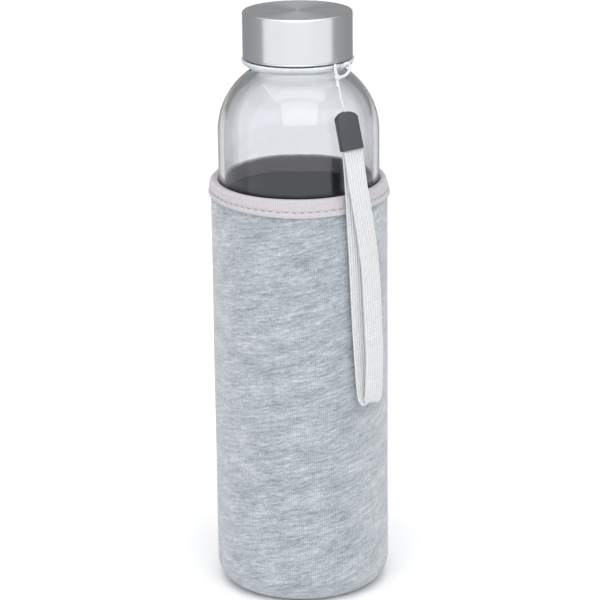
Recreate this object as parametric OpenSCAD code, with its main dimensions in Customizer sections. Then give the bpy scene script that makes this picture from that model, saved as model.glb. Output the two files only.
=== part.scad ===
// Glass water bottle with a screw cap, a knit sleeve and a wrist strap.
// Millimetres, +Z up, the sleeve stands on z = 0 and the bottle axis is the Z axis.
// The wrist strap hangs at the front right: front is -Y, right is +X.

/* [Overall] */
// Height from the resting face to the top of the cap
overall_h = 229.7; // [195:0.1:276]
// Outside diameter of the glass body
glass_d = 62; // [52:0.1:75]

/* [Glass] */
// Wall thickness of the glass
glass_wall = 2.2; // [1.6:0.1:2.6]
// Thickness of the glass base
glass_base = 4; // [3:0.1:8]
// Radius of the rounded heel at the foot of the glass
glass_heel_r = 6.8; // [6.2:0.1:10]
// Radius of the rounded shoulder
shoulder_r = 28.1; // [25:0.1:30]
// Radius of the fillet between shoulder and neck
neck_fillet_r = 2; // [1:0.1:3]
// Outside diameter of the neck below the thread
neck_d = 35; // [29:0.1:36]
// Height of the straight neck, from the shoulder fillet to the rim
neck_h = 17.7; // [16.5:0.1:24]
// How far the retaining bead stands out from the neck
bead_h = 1.1; // [0.8:0.1:1.3]
// Rounding of the drinking rim
rim_round = 0.8; // [0.3:0.1:1]

/* [Thread] */
// Rise of the thread in one turn
thread_pitch = 4; // [3:0.1:5]
// Number of turns of thread on the glass
thread_turns = 1.25; // [1:0.05:1.5]
// How far the glass thread stands out from the neck
thread_h = 1.15; // [0.9:0.05:1.3]
// Gap between the tips of the glass thread and the cap liner
thread_gap = 0.3; // [0.2:0.05:0.5]

/* [Cap] */
// Outside diameter of the steel cap
cap_d = 41.9; // [41.2:0.1:51]
// Height of the steel cap
cap_h = 17.7; // [17:0.1:20]
// Sheet thickness of the steel cap
cap_skin = 0.5; // [0.3:0.05:0.7]
// Rounding of the top edge of the cap
cap_round = 0.8; // [0.4:0.1:1.5]
// Radius of the rolled hem at the foot of the cap
hem_r = 0.45; // [0.3:0.05:0.6]
// Thickness of the top of the plastic liner
liner_top = 1.6; // [1:0.1:2.5]
// Thickness of the sealing disc
seal_t = 1.6; // [1:0.1:2.2]

/* [Neck ring] */
// Outside diameter of the strap ring at its widest
ring_d = 43; // [42.4:0.1:46]
// Height of the strap ring
ring_h = 2.9; // [2.8:0.1:4.2]
// Gap between the cap and the strap ring
ring_gap = 0.4; // [0.3:0.05:1]
// Wall of the strap ring at its widest
ring_wall = 2.1; // [1.6:0.1:2.4]
// Diameter of the two string holes in the ring
string_hole_d = 1.5; // [1.3:0.05:1.7]

/* [Sleeve] */
// Height of the sleeve rim above the resting face
sleeve_h = 164.9; // [120:0.1:182]
// Thickness of the knit and foam wall of the sleeve
sleeve_wall = 2.4; // [1.8:0.1:3]
// Thickness of the dark lining
lining_t = 0.4; // [0.3:0.05:0.6]
// Clearance between the glass and what surrounds it
glass_fit = 0.3; // [0.25:0.05:0.6]
// Radius of the rounded foot of the sleeve
sleeve_heel_r = 8.8; // [8:0.1:10]
// Radius of the round base panel
base_panel_r = 24; // [20:0.1:25]
// Height of the binding tape on the outside
tape_h = 6.8; // [5:0.1:10]
// How far the binding tape stands out at its lower edge
tape_out = 1; // [0.8:0.1:1.5]
// Number of stitches round the binding tape
tape_stitches = 72; // [48:4:90]
// Number of stitches up the back seam
seam_stitches = 44; // [30:1:48]
// Number of stitches round the base panel
base_stitches = 40; // [24:2:48]

/* [Strap clasp] */
// Width of the clasp
clasp_w = 8.3; // [8:0.1:12]
// Thickness of the clasp
clasp_t = 4.2; // [4:0.1:5]
// Length of the clasp
clasp_l = 14.4; // [13:0.1:15]
// Radius of the arched top of the clasp
clasp_arch_r = 5; // [4.6:0.1:8]
// Edge rounding of the clasp
clasp_round = 0.9; // [0.4:0.1:1.2]
// Depth of the pocket that takes the webbing
clasp_pocket = 9; // [6:0.1:10]

/* [Strap] */
// Width of the woven strap
web_w = 7.4; // [6:0.1:7.6]
// Thickness of the woven strap
web_t = 1; // [0.8:0.05:1.1]
// Diameter of the string through the ring
string_d = 1.1; // [0.9:0.05:1.15]
// Diameter of the thin string down to the clasp
thin_d = 0.6; // [0.5:0.05:0.9]
// Diameter of the hitch knot
knot_d = 2.6; // [2:0.1:3]

/* [Hidden] */

glass_r = glass_d / 2;
neck_r = neck_d / 2;
cap_r = cap_d / 2;
ring_r = ring_d / 2;
glass_z = sleeve_wall + lining_t;
rim_z = overall_h - cap_skin - liner_top - seal_t;
neck_z = rim_z - neck_h;

// Shoulder arc: tangent to the body wall and to the neck fillet
shoulder_x = glass_r - shoulder_r;
fillet_x = neck_r + neck_fillet_r;
shoulder_rise = sqrt(pow(shoulder_r + neck_fillet_r, 2) - pow(fillet_x - shoulder_x, 2));
shoulder_z = neck_z - shoulder_rise;

cap_z = overall_h - cap_h;
liner_r = cap_r - cap_skin;
liner_bore_r = neck_r + thread_h + thread_gap;
liner_z = cap_z + 2 * hem_r + 0.2;
liner_ceiling_z = overall_h - cap_skin - liner_top;
seal_r = liner_bore_r - 0.6;

ring_top_z = cap_z - ring_gap;
ring_z = ring_top_z - ring_h;
ring_pocket_r = ring_r - ring_wall;
ring_bore_r = neck_r + 0.45;
bead_z = ring_top_z + 0.5;
bead_top_z = bead_z + 1.5;
hole_z = ring_top_z - string_hole_d / 2 - 0.45;

lining_r = glass_r + glass_fit;
wall_in_r = lining_r + lining_t;
wall_out_r = wall_in_r + sleeve_wall;
wall_top_z = sleeve_h - 0.6;
tape_low_z = sleeve_h - tape_h;
tape_r = wall_out_r + tape_out;
stitch_z = tape_low_z + 2;
stitch_floor_r = tape_r - 0.45;
seam_floor_r = wall_out_r - 0.3;
seam_z = sleeve_heel_r + 5;
seam_top_z = tape_low_z - 1;

// Where the strap hangs
clasp_foot = [19.8, -29.6, 182.45];
clasp_yaw = 20;
clasp_lean = 6.25;
clasp_tilt = 12.5;
pocket_t = 2 * web_t + 0.9;
knot_at = [14.7, -19, 207.7];
hole_turns = [39.7, 48.9];
// The strap hangs from the ring, so it rises with it, and a wider sleeve pushes it out
strap_rise = ring_top_z - 211.6;
strap_push = (wall_out_r - 34.1) * [0.707, -0.707, 0];

// Route of the string through the ring, from the knot and back to it
string_route = [[14.4, -18.8, 208.4], [14.15, -18.5, 209.4], [14, -18.25, 210.5], [13.95, -18.05, 211.4],
                [14, -17.75, 211.95], [14.05, -17.35, 211.7], [13.92, -16.9, 210.7], [13.3, -16.1, 210.4],
                [12.8, -15.5, 210.4], [12.1, -14.7, 210.4], [12, -14, 210.4], [12.9, -13.2, 210.4],
                [13.6, -12.5, 210.4], [14.2, -12.4, 210.4], [15, -13.1, 210.4], [16.2, -14.2, 210.45],
                [17.2, -14.95, 211.3], [18.1, -14.75, 212.1], [19.1, -14.2, 211.6], [19.4, -14.4, 210.2],
                [18.9, -15.3, 208.9], [17.6, -16.9, 207.9], [15.6, -18.6, 207.5]];
// Route of the thin string, from under the knot to the stopper in the clasp
thin_route = [[14.9, -20.05, 206.3], [15.1, -20.8, 205.2], [15.3, -21.7, 204], [15.6, -22.8, 202.4],
              [16, -24, 200.8], [16.4, -25.2, 199.2], [16.85, -26.3, 197.6], [17.3, -27.1, 196.2],
              [17.6, -27.5, 194.6], [18, -27.9, 192.9], [18.23, -28.1, 191.2]];
// Route of the webbing loop: x, y, z and the turn of its face from the front
web_route = [[19.8, -29.1, 181.3, 20], [20.1, -30.1, 175, 20], [20.5, -30.9, 168.5, 20],
             [20.9, -31.2, 161, 20], [21.2, -30.9, 153.5, 21], [21.6, -30.5, 145.5, 22],
             [22, -30.1, 135, 24], [22.4, -29.7, 125, 25], [22.8, -29.4, 115, 26],
             [23.3, -29.2, 105, 27], [23.9, -29.1, 95, 27], [24.4, -29.15, 88.5, 27],
             [24.8, -29.2, 85.4, 27], [25.3, -29.35, 84, 27], [26.1, -29.75, 83.3, 27],
             [26.9, -30.15, 84, 27], [27.4, -30.35, 85.4, 27], [27.7, -30.5, 88.5, 27],
             [27.9, -30.6, 96, 27], [27.9, -30.7, 105, 27], [27.5, -30.8, 115, 26],
             [27, -31, 128, 24], [26.4, -31.3, 137, 23], [25.5, -31.8, 145.5, 22],
             [24.3, -32.4, 154.5, 21], [22.9, -33, 163.5, 20], [21.9, -32.9, 169.5, 20],
             [21.2, -32.2, 175, 20], [20.2, -30.4, 181.7, 20]];

// A rounded body of revolution drawn as a half outline: inset 0 is the outside of the glass
module bottle_outline(inset, foot, heel, top) {
  r = glass_r - inset;
  arc_r = shoulder_r - inset;
  fil_r = neck_fillet_r + inset;
  reach = arc_r / (shoulder_r + neck_fillet_r);
  px = shoulder_x + (fillet_x - shoulder_x) * reach;
  pz = shoulder_z + shoulder_rise * (shoulder_r - inset) / (shoulder_r + neck_fillet_r);
  difference() {
    union() {
      translate([0, foot]) square([r - heel, 2 * heel]);
      translate([0, foot + heel]) square([r, shoulder_z - foot - heel]);
      translate([r - heel, foot + heel]) circle(r = heel, $fn = 64);
      intersection() {
        translate([shoulder_x, shoulder_z]) circle(r = arc_r, $fn = 128);
        translate([0, shoulder_z - 1]) square([glass_r + 1, pz - shoulder_z + 1]);
      }
      difference() {
        polygon([[0, shoulder_z], [0, neck_z], [fillet_x, neck_z], [px, pz], [px, shoulder_z]]);
        translate([fillet_x, neck_z]) circle(r = fil_r, $fn = 64);
      }
      translate([0, neck_z - 1]) square([neck_r - inset, top - neck_z + 1]);
    }
    translate([-100, foot - 1]) square([100, top]);
  }
}

// Carries a strap piece along with the ring, and the hanging ones out with the sleeve
module hang(push = [0, 0, 0]) {
  translate([0, 0, strap_rise] + push) children();
}
function pushed(route) = [for (i = [0 : len(route) - 1])
  route[i] + min(1, i / 4) * strap_push];

// Unit vectors and a smooth run between four points
function unit(v) = v / norm(v);
function glide(a, b, c, d, t) = 0.5 * (2 * b + (c - a) * t + (2 * a - 5 * b + 4 * c - d) * t * t
                                       + (3 * b - a - 3 * c + d) * t * t * t);
function pick(route, i) = route[max(0, min(len(route) - 1, i))];
function smooth_route(route, cuts) = [for (i = [0 : len(route) - 2], k = [0 : cuts - 1])
  glide(pick(route, i - 1), route[i], route[i + 1], pick(route, i + 2), k / cuts),
  route[len(route) - 1]];
function spot(row) = [row[0], row[1], row[2]];
function heading(route, i) = unit(spot(pick(route, i + 1)) - spot(pick(route, i - 1)));
function side_of(h, last) = unit(last - (last * h) * h);
function sides(route, i = 0, last = [0.3, 0.1, 0.9]) = i >= len(route) ? [] :
  let (s = side_of(heading(route, i), last)) concat([s], sides(route, i + 1, s));

// Faces of a tube of n rings with m points each, closed at both ends
function tube_faces(n, m) = concat([[for (k = [m - 1 : -1 : 0]) k]],
  [for (i = [0 : n - 2], k = [0 : m - 1]) [i * m + k, i * m + (k + 1) % m,
                                          (i + 1) * m + (k + 1) % m, (i + 1) * m + k]],
  [[for (k = [0 : m - 1]) (n - 1) * m + k]]);

// A round string along its route
module string_tube(route, d) {
  s = sides(route);
  n = len(route);
  points = [for (i = [0 : n - 1]) let (h = heading(route, i), b = cross(h, s[i]))
            for (k = [0 : 7]) route[i] + d / 2 * (cos(45 * k) * s[i] + sin(45 * k) * b)];
  polyhedron(points, tube_faces(n, 8), convexity = 6);
}

// The flat woven strap along its route, with its face turned as the route says
module web_strip(route) {
  n = len(route);
  w = web_w / 2;
  t = web_t / 2;
  edge = [[w, -0.6 * t], [w, 0.6 * t], [w - 0.3, t], [0.3 - w, t],
          [-w, 0.6 * t], [-w, -0.6 * t], [0.3 - w, -t], [w - 0.3, -t]];
  points = [for (i = [0 : n - 1])
            let (h = heading(route, i), a = route[i][3],
                 s = side_of(h, [cos(a), sin(a), 0]), f = cross(h, s))
            for (k = [0 : 7]) spot(route[i]) + edge[k][0] * s + edge[k][1] * f];
  polyhedron(points, tube_faces(n, 8), convexity = 6);
}

// A screw ridge: foot radius, tip radius, foot and tip half widths, start height, turns, phase
module ridge(foot_r, tip_r, foot_w, tip_w, z0, turns, phase) {
  steps = round(turns * 32);
  m = 4;
  points = [for (i = [0 : steps])
            let (a = phase + 360 * turns * i / steps, z = z0 + thread_pitch * turns * i / steps,
                 run = min(1, min(i, steps - i) / 4), tip = foot_r + (tip_r - foot_r) * (0.35 + 0.65 * run),
                 fw = foot_w * (0.5 + 0.5 * run), tw = tip_w * (0.5 + 0.5 * run))
            for (p = foot_r < tip_r ? [[foot_r, -fw], [tip, -tw], [tip, tw], [foot_r, fw]]
                                    : [[tip, -tw], [foot_r, -fw], [foot_r, fw], [tip, tw]])
            [p[0] * cos(a), p[0] * sin(a), z + p[1]]];
  polyhedron(points, tube_faces(steps + 1, m), convexity = 8);
}

// A ring sector that stands on z between two radii
module sector(r0, r1, z0, h, a0, span) {
  rotate([0, 0, a0]) rotate_extrude(angle = span, $fn = 96) translate([r0, z0]) square([r1 - r0, h]);
}

// The outline of a round-footed cup wall
module cup_outline(r, heel, z0, top) {
  translate([0, z0]) square([r - heel, heel]);
  translate([0, z0 + heel]) square([r, top - z0 - heel]);
  intersection() {
    translate([r - heel, z0 + heel]) circle(r = heel, $fn = 64);
    translate([0, z0]) square([r + 1, heel]);
  }
}

module sleeve_body() {
  color([0.72, 0.76, 0.8]) difference() {
    rotate_extrude($fn = 144) difference() {
      cup_outline(wall_out_r, sleeve_heel_r, 0, wall_top_z);
      cup_outline(wall_in_r, sleeve_heel_r - sleeve_wall, sleeve_wall, wall_top_z + 1);
      translate([0, -1]) square([base_panel_r, sleeve_wall + 2]);
      translate([base_panel_r - 1.1, -1]) square([2, 1.45]);
    }
    sector(seam_floor_r, wall_out_r + 1, seam_z, seam_top_z - seam_z, 85.4, 9.2);
  }
}

module sleeve_base() {
  color([0.7, 0.74, 0.78]) rotate_extrude($fn = 144) difference() {
    square([base_panel_r, sleeve_wall]);
    translate([base_panel_r - 1.1, -1]) square([2, 1.45]);
  }
}

module sleeve_lining() {
  color([0.16, 0.16, 0.18]) rotate_extrude($fn = 144) difference() {
    cup_outline(wall_in_r, sleeve_heel_r - sleeve_wall, sleeve_wall, tape_low_z);
    cup_outline(lining_r, sleeve_heel_r - sleeve_wall - lining_t, glass_z, tape_low_z + 1);
  }
}

module sleeve_binding() {
  color([0.9, 0.86, 0.88]) rotate_extrude($fn = 144) difference() {
    union() {
      polygon([[lining_r, tape_low_z], [tape_r, tape_low_z], [tape_r - 0.3, sleeve_h - 0.8],
               [lining_r, sleeve_h - 0.8]]);
      translate([lining_r, sleeve_h - 1]) square([tape_r - 0.7 - lining_r, 1]);
      translate([tape_r - 1.1, sleeve_h - 0.8]) circle(r = 0.8, $fn = 48);
    }
    translate([wall_in_r, 0]) square([sleeve_wall, wall_top_z]);
    translate([stitch_floor_r, stitch_z - 0.4]) square([2, 0.8]);
  }
}

module binding_stitches() {
  color([0.6, 0.56, 0.58])
    for (i = [0 : tape_stitches - 1])
      sector(stitch_floor_r, tape_r + 0.05, stitch_z - 0.3, 0.6,
             i * 360 / tape_stitches, 0.68 * 360 / tape_stitches);
}

module back_seam_stitches() {
  run = seam_top_z - seam_z;
  color([0.62, 0.66, 0.7])
    for (i = [0 : seam_stitches - 1])
      sector(seam_floor_r, wall_out_r + 0.1, seam_z + run * (i + 0.5) / seam_stitches - 0.35, 0.7, 86, 8);
}

module base_seam_stitches() {
  color([0.62, 0.66, 0.7])
    for (i = [0 : base_stitches - 1])
      sector(base_panel_r - 0.9, base_panel_r + 0.7, 0.05, 0.4, i * 360 / base_stitches, 1.4);
}

module glass_bottle() {
  color([0.86, 0.9, 0.92, 0.45]) union() {
    rotate_extrude($fn = 144) {
      difference() {
        bottle_outline(0, glass_z, glass_heel_r, rim_z - rim_round);
        bottle_outline(glass_wall, glass_z + glass_base, glass_heel_r - 1.5, rim_z + 5);
      }
      translate([neck_r - glass_wall + rim_round, rim_z - rim_round - 0.01])
        square([glass_wall - 2 * rim_round, rim_round + 0.01]);
      translate([neck_r - rim_round, rim_z - rim_round]) circle(r = rim_round, $fn = 48);
      translate([neck_r - glass_wall + rim_round, rim_z - rim_round]) circle(r = rim_round, $fn = 48);
      polygon([[neck_r - 0.5, bead_z - 0.3], [neck_r + bead_h, bead_z + 0.4],
               [neck_r + bead_h, bead_top_z - 0.4], [neck_r - 0.5, bead_top_z + 0.3]]);
    }
    ridge(neck_r - 0.3, neck_r + thread_h, 0.95, 0.4, bead_top_z + 2, thread_turns, 200);
  }
}

module cap_shell() {
  color([0.72, 0.73, 0.75]) rotate_extrude($fn = 144) {
    difference() {
      union() {
        translate([0, cap_z + hem_r]) square([cap_r, cap_h - hem_r - cap_round]);
        translate([0, overall_h - 2 * cap_round]) square([cap_r - cap_round, 2 * cap_round]);
        translate([cap_r - cap_round, overall_h - cap_round]) circle(r = cap_round, $fn = 64);
      }
      translate([-1, cap_z - 1]) square([liner_r + 1, cap_h + 1 - cap_skin]);
      translate([-100, 0]) square([100, 400]);
    }
    translate([cap_r + 0.1 - hem_r, cap_z + hem_r]) circle(r = hem_r, $fn = 48);
  }
}

module cap_liner() {
  color([0.93, 0.93, 0.92]) union() {
    rotate_extrude($fn = 144) difference() {
      translate([0, liner_z]) square([liner_r, overall_h - cap_skin - liner_z]);
      translate([-1, liner_z - 1]) square([liner_bore_r + 1, liner_ceiling_z - liner_z + 1]);
      translate([-2, 0]) square([2, 400]);
    }
    ridge(liner_bore_r + 0.3, neck_r + 0.4, 1, 0.35, bead_top_z + 2 - 0.42 * thread_pitch, 1.4, 200);
  }
}

module cap_seal() {
  color([0.85, 0.86, 0.85]) translate([0, 0, rim_z]) cylinder(r = seal_r, h = seal_t, $fn = 144);
}

module neck_ring() {
  color([0.88, 0.9, 0.92, 0.85]) difference() {
    rotate_extrude($fn = 144) polygon([
      [ring_bore_r, ring_z], [ring_bore_r + 1.5, ring_z], [ring_r - 0.5, ring_z + ring_h * 0.4],
      [ring_r, ring_top_z - 0.6], [ring_r, ring_top_z - 0.2], [ring_r - 0.2, ring_top_z],
      [ring_pocket_r, ring_top_z], [ring_pocket_r, ring_z + 0.8], [ring_bore_r, ring_z + 0.5]]);
    for (a = hole_turns)
      rotate([0, 0, a - 90]) translate([0, 0, hole_z]) rotate([0, 90, 0])
        translate([0, 0, ring_pocket_r - 1]) cylinder(d = string_hole_d, h = 6, $fn = 32);
  }
}

module ring_string() {
  color([0.95, 0.95, 0.95]) hang() string_tube(smooth_route(string_route, 2), string_d);
}

module hitch_knot() {
  color([0.95, 0.95, 0.95]) hang() translate(knot_at) sphere(d = knot_d, $fn = 32);
}

module strap_string() {
  color([0.95, 0.95, 0.95]) hang() string_tube(smooth_route(pushed(thin_route), 2), thin_d);
}

// Puts a clasp part, drawn upright on the origin, where the clasp hangs
module clasp_place() {
  hang(strap_push) translate(clasp_foot) rotate([0, 0, clasp_yaw]) rotate([-clasp_tilt, -clasp_lean, 0])
    children();
}

// The clasp seen from the front, and from its side
module clasp_face() {
  intersection() {
    translate([-clasp_w / 2, 0]) square([clasp_w, clasp_l]);
    translate([0, clasp_l - clasp_arch_r]) circle(r = clasp_arch_r, $fn = 96);
  }
  translate([-clasp_w / 2, 0]) square([clasp_w, clasp_l - clasp_arch_r]);
}

module clasp_side() {
  t = clasp_t / 2 - clasp_round;
  translate([-clasp_t / 2, clasp_round]) square([clasp_t, clasp_l - 2 * clasp_round]);
  translate([-t, 0]) square([2 * t, clasp_l]);
  for (x = [-t, t], z = [clasp_round, clasp_l - clasp_round])
    translate([x, z]) circle(r = clasp_round, $fn = 48);
}

module strap_clasp() {
  color([0.27, 0.28, 0.3]) clasp_place() difference() {
    intersection() {
      rotate([90, 0, 0]) translate([0, 0, -clasp_t]) linear_extrude(2 * clasp_t) clasp_face();
      rotate([90, 0, 90]) translate([0, 0, -clasp_w]) linear_extrude(2 * clasp_w) clasp_side();
    }
    translate([-web_w / 2 - 0.05, -pocket_t / 2, -1]) cube([web_w + 0.1, pocket_t, clasp_pocket + 1]);
    cylinder(d = 2 * thin_d, h = clasp_l + 1, $fn = 32);
  }
}

module clasp_stopper() {
  color([0.95, 0.95, 0.95]) clasp_place()
    translate([0, 0, clasp_pocket - 1.8]) cylinder(r = 1.3, h = 1.8, $fn = 48);
}

module strap_webbing() {
  color([0.93, 0.93, 0.94]) hang(strap_push) web_strip(smooth_route(web_route, 2));
}

sleeve_body();
sleeve_base();
sleeve_lining();
sleeve_binding();
binding_stitches();
back_seam_stitches();
base_seam_stitches();
glass_bottle();
cap_shell();
cap_liner();
cap_seal();
neck_ring();
ring_string();
hitch_knot();
strap_string();
strap_clasp();
clasp_stopper();
strap_webbing();
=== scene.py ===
import logging
import math
from dataclasses import dataclass
from enum import Enum
from typing import Callable, Sequence

import bmesh
import bpy
from mathutils import Matrix, Vector, noise


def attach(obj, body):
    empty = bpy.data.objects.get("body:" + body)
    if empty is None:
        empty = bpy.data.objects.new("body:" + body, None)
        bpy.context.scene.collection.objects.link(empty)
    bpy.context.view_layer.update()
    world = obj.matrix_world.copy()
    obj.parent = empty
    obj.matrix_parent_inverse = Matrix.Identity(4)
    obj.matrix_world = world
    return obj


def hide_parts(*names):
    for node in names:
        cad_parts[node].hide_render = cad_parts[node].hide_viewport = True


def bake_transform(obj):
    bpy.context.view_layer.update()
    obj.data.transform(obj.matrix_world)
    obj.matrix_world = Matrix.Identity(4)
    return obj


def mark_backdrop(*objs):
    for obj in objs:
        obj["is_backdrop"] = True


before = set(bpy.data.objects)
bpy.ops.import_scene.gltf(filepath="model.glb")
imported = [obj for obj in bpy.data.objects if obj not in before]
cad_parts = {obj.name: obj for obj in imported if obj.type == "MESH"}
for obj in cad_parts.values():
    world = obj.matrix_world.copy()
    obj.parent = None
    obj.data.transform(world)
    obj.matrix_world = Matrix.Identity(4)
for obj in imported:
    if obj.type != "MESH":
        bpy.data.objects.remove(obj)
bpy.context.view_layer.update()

MM = 0.001
TURN = 2.0 * math.pi
WELD = 1e-6
LOG = logging.getLogger("water bottle")


class Body(Enum):
    """The moving bodies that the pieces ride on."""

    SLEEVE = "sleeve"
    BOTTLE = "bottle"
    SEAL = "seal"
    CAP = "cap"
    RING = "ring"
    STRAP = "strap"
    LOOP = "loop"


# ---------------------------------------------------------------- node work

class Bench:
    """A node tree with short ways to add nodes and join them."""

    def __init__(self, tree: bpy.types.NodeTree) -> None:
        """Keeps the tree that the nodes go into."""
        self.tree = tree

    def add(self, kind: str, joins: dict | None = None, **settings: object) -> bpy.types.Node:
        """Adds one node.

        Args:
            kind: The node's type name.
            joins: Input name or number to a constant or to another node's output.
            **settings: Plain properties of the node.

        Returns:
            The new node.
        """
        node = self.tree.nodes.new(kind)
        for key, value in settings.items():
            setattr(node, key, value)
        for key, value in (joins or {}).items():
            if isinstance(value, bpy.types.NodeSocket):
                self.tree.links.new(value, node.inputs[key])
            else:
                node.inputs[key].default_value = value
        return node

    def maths(self, operation: str, a: object, b: object = 0.0, c: object = 0.0) -> bpy.types.NodeSocket:
        """One step of arithmetic on numbers.

        Args:
            operation: The Math node's operation.
            a: First number or output.
            b: Second number or output.
            c: Third number or output.

        Returns:
            The output with the result.
        """
        return self.add("ShaderNodeMath", {0: a, 1: b, 2: c}, operation=operation).outputs[0]

    def noise(self, vector: bpy.types.NodeSocket, scale: float, detail: float = 2.0,
              rough: float = 0.5) -> bpy.types.NodeSocket:
        """A noise value from 0 to 1.

        Args:
            vector: Where the noise is read.
            scale: Cells per metre.
            detail: Layers of finer noise.
            rough: Strength of the finer layers.

        Returns:
            The output with the value.
        """
        joins = {"Vector": vector, "Scale": scale, "Detail": detail, "Roughness": rough}
        return self.add("ShaderNodeTexNoise", joins).outputs[0]

    def stretch(self, vector: bpy.types.NodeSocket, scale: tuple[float, float, float],
                turn: float = 0.0) -> bpy.types.NodeSocket:
        """Turns a pattern about Z, then stretches it.

        Args:
            vector: The coordinates.
            scale: Cells per metre along each axis.
            turn: Turn in degrees.

        Returns:
            The output with the new coordinates.
        """
        turned = self.add("ShaderNodeMapping", {"Vector": vector, "Rotation": (0.0, 0.0, math.radians(turn))})
        return self.add("ShaderNodeVectorMath", {0: turned.outputs[0], 1: scale},
                        operation="MULTIPLY").outputs[0]

    def ramp(self, factor: bpy.types.NodeSocket, *stops: tuple[float, tuple[float, float, float]]
             ) -> bpy.types.NodeSocket:
        """Turns a value into a colour.

        Args:
            factor: The value, from 0 to 1.
            *stops: Places from 0 to 1 with their colours.

        Returns:
            The output with the colour.
        """
        node = self.add("ShaderNodeValToRGB", {0: factor})
        while len(node.color_ramp.elements) < len(stops):
            node.color_ramp.elements.new(1.0)
        for element, (place, colour) in zip(node.color_ramp.elements, stops):
            element.position = place
            element.color = (*colour, 1.0)
        return node.outputs[0]

    def mixed(self, factor: object, a: object, b: object, way: str = "MIX") -> bpy.types.NodeSocket:
        """Mixes two colours.

        Args:
            factor: How much of the second, from 0 to 1.
            a: First colour or output.
            b: Second colour or output.
            way: The blend type.

        Returns:
            The output with the colour.
        """
        return self.add("ShaderNodeMix", {0: factor, 6: a, 7: b}, data_type="RGBA", blend_type=way).outputs[2]

    def spread(self, value: bpy.types.NodeSocket, low: float, high: float) -> bpy.types.NodeSocket:
        """Maps a value from 0 to 1 onto low to high."""
        return self.add("ShaderNodeMapRange", {0: value, 3: low, 4: high}).outputs[0]

    def relief(self, height: bpy.types.NodeSocket, depth: float, strength: float = 1.0) -> bpy.types.NodeSocket:
        """A surface normal from a height.

        Args:
            height: The height, from 0 to 1.
            depth: What a height of 1 is in metres.
            strength: How much of it shows.

        Returns:
            The output with the normal.
        """
        joins = {"Height": height, "Distance": depth, "Strength": strength}
        return self.add("ShaderNodeBump", joins).outputs[0]


def node_group(name: str, inputs: dict[str, object], outputs: dict[str, str],
               build: Callable[[Bench, bpy.types.Node], dict[str, bpy.types.NodeSocket]]
               ) -> bpy.types.NodeTree:
    """Builds a shader node group once and hands back the same one later.

    Args:
        name: The group's name.
        inputs: Input names and what they start from; None makes a vector input.
        outputs: Output names and their socket types.
        build: Adds the nodes and returns the outputs by name.

    Returns:
        The group's node tree.
    """
    if name in bpy.data.node_groups:
        return bpy.data.node_groups[name]
    tree = bpy.data.node_groups.new(name, "ShaderNodeTree")
    for key, value in inputs.items():
        kind = "NodeSocketVector" if value is None else "NodeSocketFloat"
        socket = tree.interface.new_socket(key, in_out="INPUT", socket_type=kind)
        if value is not None:
            socket.default_value = value
    for key, kind in outputs.items():
        tree.interface.new_socket(key, in_out="OUTPUT", socket_type=kind)
    bench = Bench(tree)
    results = build(bench, bench.add("NodeGroupInput"))
    bench.add("NodeGroupOutput", results)
    return tree


def looped_cloth() -> bpy.types.NodeTree:
    """Rows of small V loops, as a knit or a ribbed weave has them, on coordinates in metres.

    Returns:
        The group's node tree.
    """

    def build(bench: Bench, given: bpy.types.Node) -> dict[str, bpy.types.NodeSocket]:
        """Adds the loops' nodes.

        Args:
            bench: The group's tree.
            given: Its input node.

        Returns:
            The group's outputs by name.
        """
        parts = bench.add("ShaderNodeSeparateXYZ", {0: given.outputs["Vector"]})
        wales = bench.maths("DIVIDE", parts.outputs[0], given.outputs["Wale"])
        across = bench.maths("PINGPONG", wales, 0.5)
        lean = bench.maths("MULTIPLY", across, given.outputs["Slant"])
        rows = bench.maths("ADD", bench.maths("DIVIDE", parts.outputs[1], given.outputs["Course"]), lean)
        along = bench.maths("MULTIPLY", bench.maths("PINGPONG", rows, 0.5), 2.0)
        bulge = bench.maths("SINE", bench.maths("MULTIPLY", across, math.pi))
        height = bench.maths("MULTIPLY", bulge, bench.maths("MULTIPLY_ADD", along, 0.6, 0.4))
        wobble = bench.noise(given.outputs["Vector"], 900.0, 2.0)
        height = bench.maths("MULTIPLY_ADD", wobble, 0.25, height)
        # Gaps is the inverted loop height, which the cloth uses for painted shade in the gaps between the
        # loops.
        return {"Height": height, "Gaps": bench.maths("SUBTRACT", 1.0, bench.maths("MINIMUM", height, 1.0))}

    return node_group("looped cloth", {"Vector": None, "Wale": 0.0005, "Course": 0.0004, "Slant": 1.2},
                      {"Height": "NodeSocketFloat", "Gaps": "NodeSocketFloat"}, build)


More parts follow.
